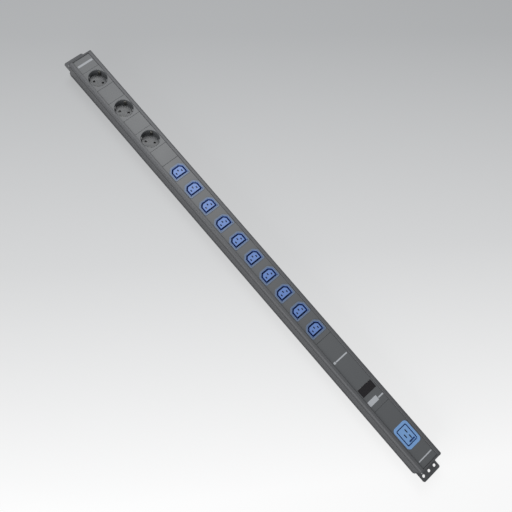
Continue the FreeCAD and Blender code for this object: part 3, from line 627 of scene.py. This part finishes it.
tools += slot_tools(large_x, [LATCH_PLACE], LATCH_POCKET[:2], FACE_Z - LATCH_POCKET[2],
                    FACE_Z + CUT_OVER)
carve(large, tools)
soften(large, 0.35 * MM)
enter(large, "large_outlet", "outlet_blue", ["c19_outlet"], material=finishes["large_blue"])
print("large outlet faces:", len(large.data.polygons))

# %% [markdown]
# ## The round sockets
# The front of each module is a plate with a round well in it. A boolean cut would leave long
# thin faces round the hole, so the plate is bridged instead: a rectangle and a circle get the
# same number of edges and a fan of faces joins them. The circle then goes down step by step:
# a small chamfer, the wall, a soft corner and the floor.

# %% The plate of one round socket
SOCKET_RADIUS = 19.75 * MM
SOCKET_DEPTH = 17.5 * MM
SOCKET_WALL = 1.8 * MM
MOUTH_CHAMFER = 0.8 * MM
RIM_EDGES = 96
PLATE_HALF = 20.8 * MM
FLANGE_DROP = 0.75 * MM


def shrink_ring(middle, radius_from, radius_to, z):
    """Extrudes the chosen ring of edges by z, to another radius."""
    extrude(z=z)
    stretch_chosen(middle, x=radius_to / radius_from, y=radius_to / radius_from)


low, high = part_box("schuko_socket_1")
socket_x = (low.x + high.x) / 2
floor_z = FACE_Z - SOCKET_DEPTH
middle = Vector((socket_x, 0, FACE_Z))
start_clean()
bpy.ops.mesh.primitive_plane_add(size=1, location=middle)
socket = bpy.context.object
socket.scale = (high.x - low.x, 2 * PLATE_HALF, 1)
bpy.ops.object.transform_apply(location=True, rotation=True, scale=True)
bpy.ops.object.mode_set(mode="EDIT")
bpy.ops.mesh.select_all(action="SELECT")
bpy.ops.mesh.subdivide(number_cuts=RIM_EDGES // 4 - 1)
choose(lambda edge: not edge.is_boundary, "EDGE")
bpy.ops.mesh.delete(type="EDGE")
bpy.ops.mesh.primitive_circle_add(vertices=RIM_EDGES, radius=SOCKET_RADIUS + MOUTH_CHAMFER,
                                  location=middle, rotation=(0, 0, math.pi / 4))
bpy.ops.mesh.select_all(action="SELECT")
bpy.ops.mesh.bridge_edge_loops()
print("edges of the rim:", RIM_EDGES)

# %% [markdown]
# Now the circle goes down. Each step is one extrusion of the ring, scaled to its new radius. The
# side edges of the plate go down and out too, as the flanges that the channel's lips hold. An
# open skin has no inside, so the last step is to look which way its top faces, and to flip it if
# that is down. Solidify then makes the wall on the hidden side.

# %% The well, the flanges and the wall
CORNER_STEPS = [(0.25 * MM, 0.55 * MM), (0.8 * MM, 0.25 * MM)]


def on_circle(radius, z):
    """A test for the edges of one level circle round the socket's middle."""

    def test(edge):
        return all(abs((vertex.co - middle).xy.length - radius) < 2 * NEAR
                   and abs(vertex.co.z - z) < NEAR for vertex in edge.verts)

    return test


choose(on_circle(SOCKET_RADIUS + MOUTH_CHAMFER, FACE_Z), "EDGE")
shrink_ring(middle, SOCKET_RADIUS + MOUTH_CHAMFER, SOCKET_RADIUS, -MOUTH_CHAMFER)
extrude(z=MOUTH_CHAMFER + sum(drop for inwards, drop in CORNER_STEPS) - SOCKET_DEPTH)
radius = SOCKET_RADIUS
for inwards, drop in CORNER_STEPS:
    shrink_ring(middle, radius, SOCKET_RADIUS - inwards, -drop)
    radius = SOCKET_RADIUS - inwards
bpy.ops.mesh.edge_face_add()
for side in (-1, 1):
    choose(lambda edge: all(abs(vertex.co.y - side * PLATE_HALF) < NEAR
                            for vertex in edge.verts), "EDGE")
    extrude(z=-FLANGE_DROP)
    extrude(y=side * (high.y - PLATE_HALF))
outward()
if choose(level_face(FACE_Z, up=False)):
    bpy.ops.mesh.select_all(action="SELECT")
    bpy.ops.mesh.flip_normals()
bpy.ops.object.mode_set(mode="OBJECT")
wall = socket.modifiers.new("wall", "SOLIDIFY")
wall.thickness = SOCKET_WALL
wall.offset = -1.0
bpy.ops.object.modifier_apply(modifier="wall")
print("socket skin faces:", len(socket.data.polygons))

# %% [markdown]
# Two ribs guide the plug at the ends of the pin line. They are welded on, and then the pin holes
# and the slots for the two arms of the earth clip are cut through the floor.

# %% Sizes and tools of the ribs and holes
PIN_LINE_TURN = math.radians(45)
RIB_HALF = 2.5 * MM
RIB_DEPTH = 1.9 * MM
RIB_DROP = 2.9 * MM
RIB_ROOT = 0.9 * MM
PIN_SPACING = 19.0 * MM
PIN_HOLE_RADIUS = 2.8 * MM
EARTH_ARM = 17.5 * MM
EARTH_SLOT_HALF = (2.7 * MM, 0.6 * MM)
HOLE_DEPTH = 4.0 * MM


def turned_block(x, low, high):
    """A block drawn with the pin line along X, turned and moved to a socket."""
    tool = add_block(low, high)
    bpy.ops.object.mode_set(mode="OBJECT")
    turn = Matrix.Translation((x, 0, 0)) @ Matrix.Rotation(PIN_LINE_TURN, 4, "Z")
    tool.data.transform(turn)
    return tool


def add_rod(x, y, radius, low, high, edges=48):
    """An upright rod between two heights."""
    start_clean()
    bpy.ops.mesh.primitive_cylinder_add(vertices=edges, radius=radius, depth=high - low,
                                        location=(x, y, (low + high) / 2))
    bpy.ops.object.transform_apply(location=True, rotation=True, scale=True)
    return bpy.context.object


print("pin line turned by", round(math.degrees(PIN_LINE_TURN)), "degrees")

# %% [markdown]
# The ribs sink a little into the wall and the floor, because a boolean needs the two bodies to
# overlap. The holes go well past both sides of the floor for the same reason.

# %% Ribs and holes
ribs = []
for side in (-1, 1):
    ends = sorted((side * (SOCKET_RADIUS - RIB_DEPTH), side * (SOCKET_RADIUS + RIB_ROOT)))
    ribs.append(turned_block(socket_x, (ends[0], -RIB_HALF, floor_z - RIB_ROOT),
                             (ends[1], RIB_HALF, FACE_Z - RIB_DROP)))
carve(socket, ribs, "UNION")
holes = []
hole_low, hole_high = floor_z - HOLE_DEPTH, floor_z + CUT_OVER
half_x, half_y = EARTH_SLOT_HALF
for side in (-1, 1):
    reach = side * PIN_SPACING / 2
    holes.append(add_rod(socket_x + reach * math.cos(PIN_LINE_TURN),
                         reach * math.sin(PIN_LINE_TURN), PIN_HOLE_RADIUS, hole_low, hole_high))
    arm = side * EARTH_ARM
    holes.append(turned_block(socket_x, (-half_x, arm - half_y, hole_low),
                              (half_x, arm + half_y, hole_high)))
carve(socket, holes)
soften(socket, 0.25 * MM)
print("round socket faces:", len(socket.data.polygons))

# %% [markdown]
# The finished front serves all three sockets. Copies are moved inside their meshes, so that every
# object stays at the origin and its pattern keeps its place.

# %% Three round sockets
for number in (1, 2, 3):
    node = f"schuko_socket_{number}"
    away = middle_of(node).x - socket_x
    here = socket if number == 1 else copy_along(socket, away)
    enter(here, f"round_socket_{number}", "cover_plastic", [node])
print("round sockets: 3")

# %% [markdown]
# ## The meter's window
# A smoked lens fills the opening in the meter's cover. It is a block inside the window's hidden
# edge, with a bevel that catches a thin line of light. The three digits on it are dark, since the
# strip has no supply, so each is seven faint bars. One bar is a thin block with its corners
# bevelled off.

# %% The lens
LENS_RIM = 1.65 * MM
LENS_LIFT = 1.6 * MM

lens_low, lens_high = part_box("display_window")
lens = add_block((lens_low.x + LENS_RIM, lens_low.y + LENS_RIM, lens_low.z + LENS_LIFT),
                 (lens_high.x - LENS_RIM, lens_high.y - LENS_RIM, lens_high.z))
soften(lens, 0.5 * MM, segments=3)
enter(lens, "meter_lens", "window_lens", ["display_window"])
lens_top = lens_high.z
lens_x = (lens_low.x + lens_high.x) / 2
print("lens faces:", len(lens.data.polygons))

# %% [markdown]
# A digit is two rows of two upright bars and three cross bars. The bars are joined into one
# piece, because they are one display.

# %% Digits
DIGIT_PITCH = 10.5 * MM
DIGIT_SIZE = (13.0 * MM, 7.0 * MM)
CROSS_GAP = 1.8 * MM
UPRIGHT_GAP = 1.2 * MM
BAR_WIDTH = 1.3 * MM
BAR_LIFT = 0.03 * MM
BAR_CUT = 0.42


def digit_bar(x, y, along_y, length):
    """One bar of a digit, its corners cut off, lying on the lens."""
    half_x, half_y = BAR_WIDTH / 2, length / 2
    if not along_y:
        half_x, half_y = half_y, half_x
    bar = add_block((x - half_x, y - half_y, lens_top - BAR_LIFT),
                    (x + half_x, y + half_y, lens_top + BAR_LIFT))
    choose(lambda edge: abs(edge.verts[0].co.z - edge.verts[1].co.z) > BAR_LIFT, "EDGE")
    bpy.ops.mesh.bevel(offset=BAR_WIDTH * BAR_CUT, segments=1, affect="EDGES")
    return bar


bars = []
half_tall, half_wide = DIGIT_SIZE[0] / 2, DIGIT_SIZE[1] / 2
for place in (-1, 0, 1):
    y = place * DIGIT_PITCH
    for x in (-half_tall, 0.0, half_tall):
        bars.append(digit_bar(lens_x + x, y, True, DIGIT_SIZE[1] - CROSS_GAP))
    for x in (-half_tall / 2, half_tall / 2):
        for side in (-1, 1):
            bars.append(digit_bar(lens_x + x, y + side * half_wide, False,
                                  half_tall - UPRIGHT_GAP))
enter(join(bars), "meter_digits", "display_digits")
print("digit bars:", len(bars))

# %% [markdown]
# ## Printed marks
# The covers carry a few pale marks. They are left blank: thin films with rounded corners, with
# no words on them.

# %% Printed marks
FILM = 0.06 * MM
MARK_STEPS = 4


def film(name, edge, x, y, corner, ink="pale_print"):
    """A thin film on the covers. x is in mm from the place edge, and y and corner are in mm."""
    start_clean()
    x = [edge + value * MM for value in x]
    y = [value * MM for value in y]
    middle = Vector((sum(x) / 2, sum(y) / 2, FACE_Z + FILM))
    bpy.ops.mesh.primitive_plane_add(size=1, location=middle)
    mark = bpy.context.object
    mark.scale = (x[1] - x[0], y[1] - y[0], 1)
    bpy.ops.object.transform_apply(location=True, rotation=True, scale=True)
    bpy.ops.object.mode_set(mode="EDIT")
    bpy.ops.mesh.select_all(action="SELECT")
    bpy.ops.mesh.bevel(offset=corner * MM, segments=MARK_STEPS, affect="VERTICES")
    bpy.ops.mesh.select_all(action="SELECT")
    extrude(z=-FILM)
    outward()
    return enter(mark, name, "cover_plastic", material=finishes[ink])


far_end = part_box("far_blank_cover")[0].x
centre = 0.0
meter_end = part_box("meter_cover")[1].x
near_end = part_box("c19_cover")[1].x
marks = [
    film("far_mark", far_end, (13.0, 17.7), (-18.5, 18.5), 0.8, "print"),
    film("middle_line", centre, (284.0, 286.9), (-12.5, 18.0), 0.6),
    film("middle_spot", centre, (283.0, 287.9), (-18.6, -13.6), 1.2),
    film("meter_label", meter_end, (-23.2, -12.2), (-19.0, 5.0), 1.0),
    film("meter_line", meter_end, (-17.4, -14.4), (6.0, 19.4), 0.6),
    film("near_line", near_end, (-15.5, -13.1), (-18.0, 18.0), 0.6),
]
print("printed marks:", len(marks))

# %% [markdown]
# ## Floor and light
# The strip lies on a plain pale floor, grey behind its far end and white in front of its near
# end. For the camera the floor is mostly its own light, so the gradient stays clean, and partly
# a real matt surface, so the strip keeps its soft shadow. For every other ray it is plain grey.

# %% Floor
FLOOR_SIZE = 14.0

start_clean()
bpy.ops.mesh.primitive_plane_add(size=FLOOR_SIZE, location=(0, 0, 0))
floor = bpy.context.object
floor.name = "floor"
print("floor:", FLOOR_SIZE, "m square")

# %% [markdown]
# The gradient falls along one direction on the floor. Each stop is a place along it, in metres,
# and a level from 0 to 255. The darker a stop is, the bluer it gets, by one level of tint for
# every fifty levels below white.

# %% The floor's paper
FLOOR_GLOW = 0.80
FLOOR_GREY = (0.5, 0.5, 0.5, 1.0)
LEVELS_PER_TINT = 50
FLOOR_STOPS = [(-1.30, 160), (-0.558, 180), (-0.003, 216), (0.483, 255), (1.3, 255)]
FLOOR_FALL = Vector((0.845, -0.586, 0.0))

floor_paper = bpy.data.materials.new("floor_paper")
floor_paper.use_nodes = True
tree = floor_paper.node_tree
tree.nodes.clear()
start = Socket(tree)
place = start.node("TexCoord", {}, out="Object")
along = start.node("VectorMath", {0: place, 1: FLOOR_FALL}, out="Value", operation="DOT_PRODUCT")
low, high = FLOOR_STOPS[0][0], FLOOR_STOPS[-1][0]
span = high - low
stops = []
for step, level in FLOOR_STOPS:
    cool = (255 - level) / LEVELS_PER_TINT
    stops.append(((step - low) / span, paint(level - cool, level, level + cool)))
gradient = start.node("ValToRGB", {"Fac": (along - low) * (1 / span)}, stops=stops)
matt = start.node("BsdfDiffuse", {"Color": gradient})
glow = start.node("Emission", {"Color": gradient})
seen = start.node("MixShader", {0: FLOOR_GLOW, 1: matt, 2: glow})
plain = start.node("BsdfDiffuse", {"Color": FLOOR_GREY})
camera_ray = start.node("LightPath", {}, out="Is Camera Ray")
surface = start.node("MixShader", {0: camera_ray, 1: plain, 2: seen})
output = tree.nodes.new("ShaderNodeOutputMaterial")
tree.links.new(surface.output, output.inputs["Surface"])
floor.data.materials.append(floor_paper)
print("gradient length:", span, "m")

# %% [markdown]
# A lamp above the far end gives most of the light on the front. Its reflection is what makes the
# far end of the satin front brighter than the near end. A second lamp, larger and lower, stands
# on the side that the camera sees and lifts the channel's flank.

# %% Lamps


def area_lamp(name, place, aim, size, power):
    """A rectangular lamp that the camera doesn't see, turned towards a point."""
    data = bpy.data.lights.new(name, "AREA")
    data.shape = "RECTANGLE"
    data.size, data.size_y = size
    data.energy = power
    lamp = bpy.data.objects.new(name, data)
    bpy.context.scene.collection.objects.link(lamp)
    direction = Vector(aim) - Vector(place)
    turn = direction.to_track_quat("-Z", "Y").to_matrix().to_4x4()
    lamp.matrix_world = Matrix.Translation(place) @ turn
    lamp.visible_camera = False
    return lamp


lamps = [
    area_lamp("key_lamp", place=(-0.80, 0.42, 1.45), aim=(-0.25, 0.0, 0.0), size=(0.7, 0.7),
              power=13.0),
    area_lamp("side_lamp", place=(0.35, -1.9, 0.86), aim=(0.05, 0.0, 0.05), size=(2.4, 1.3),
              power=31.0),
]
print("lamps:", len(lamps))

# %% [markdown]
# The world fills the shadows with a weak, slightly cool light. The camera sees a plain pale wall
# in its place, where the floor ends.

# %% World
FILL_COLOUR = (0.95, 0.97, 1.0, 1.0)
FILL_STRENGTH = 0.32

world = bpy.data.worlds.new("studio")
bpy.context.scene.world = world
world.use_nodes = True
tree = world.node_tree
fill = tree.nodes["Background"]
fill.inputs["Color"].default_value = FILL_COLOUR
fill.inputs["Strength"].default_value = FILL_STRENGTH
start = Socket(tree)
wall = start.node("Background", {"Color": paint(214, 215, 216), "Strength": 1.0})
camera_ray = start.node("LightPath", {}, out="Is Camera Ray")
studio = start.node("MixShader", {0: camera_ray, 1: Socket(tree, fill.outputs[0]), 2: wall})
tree.links.new(studio.output, tree.nodes["World Output"].inputs["Surface"])
print("fill strength:", FILL_STRENGTH)
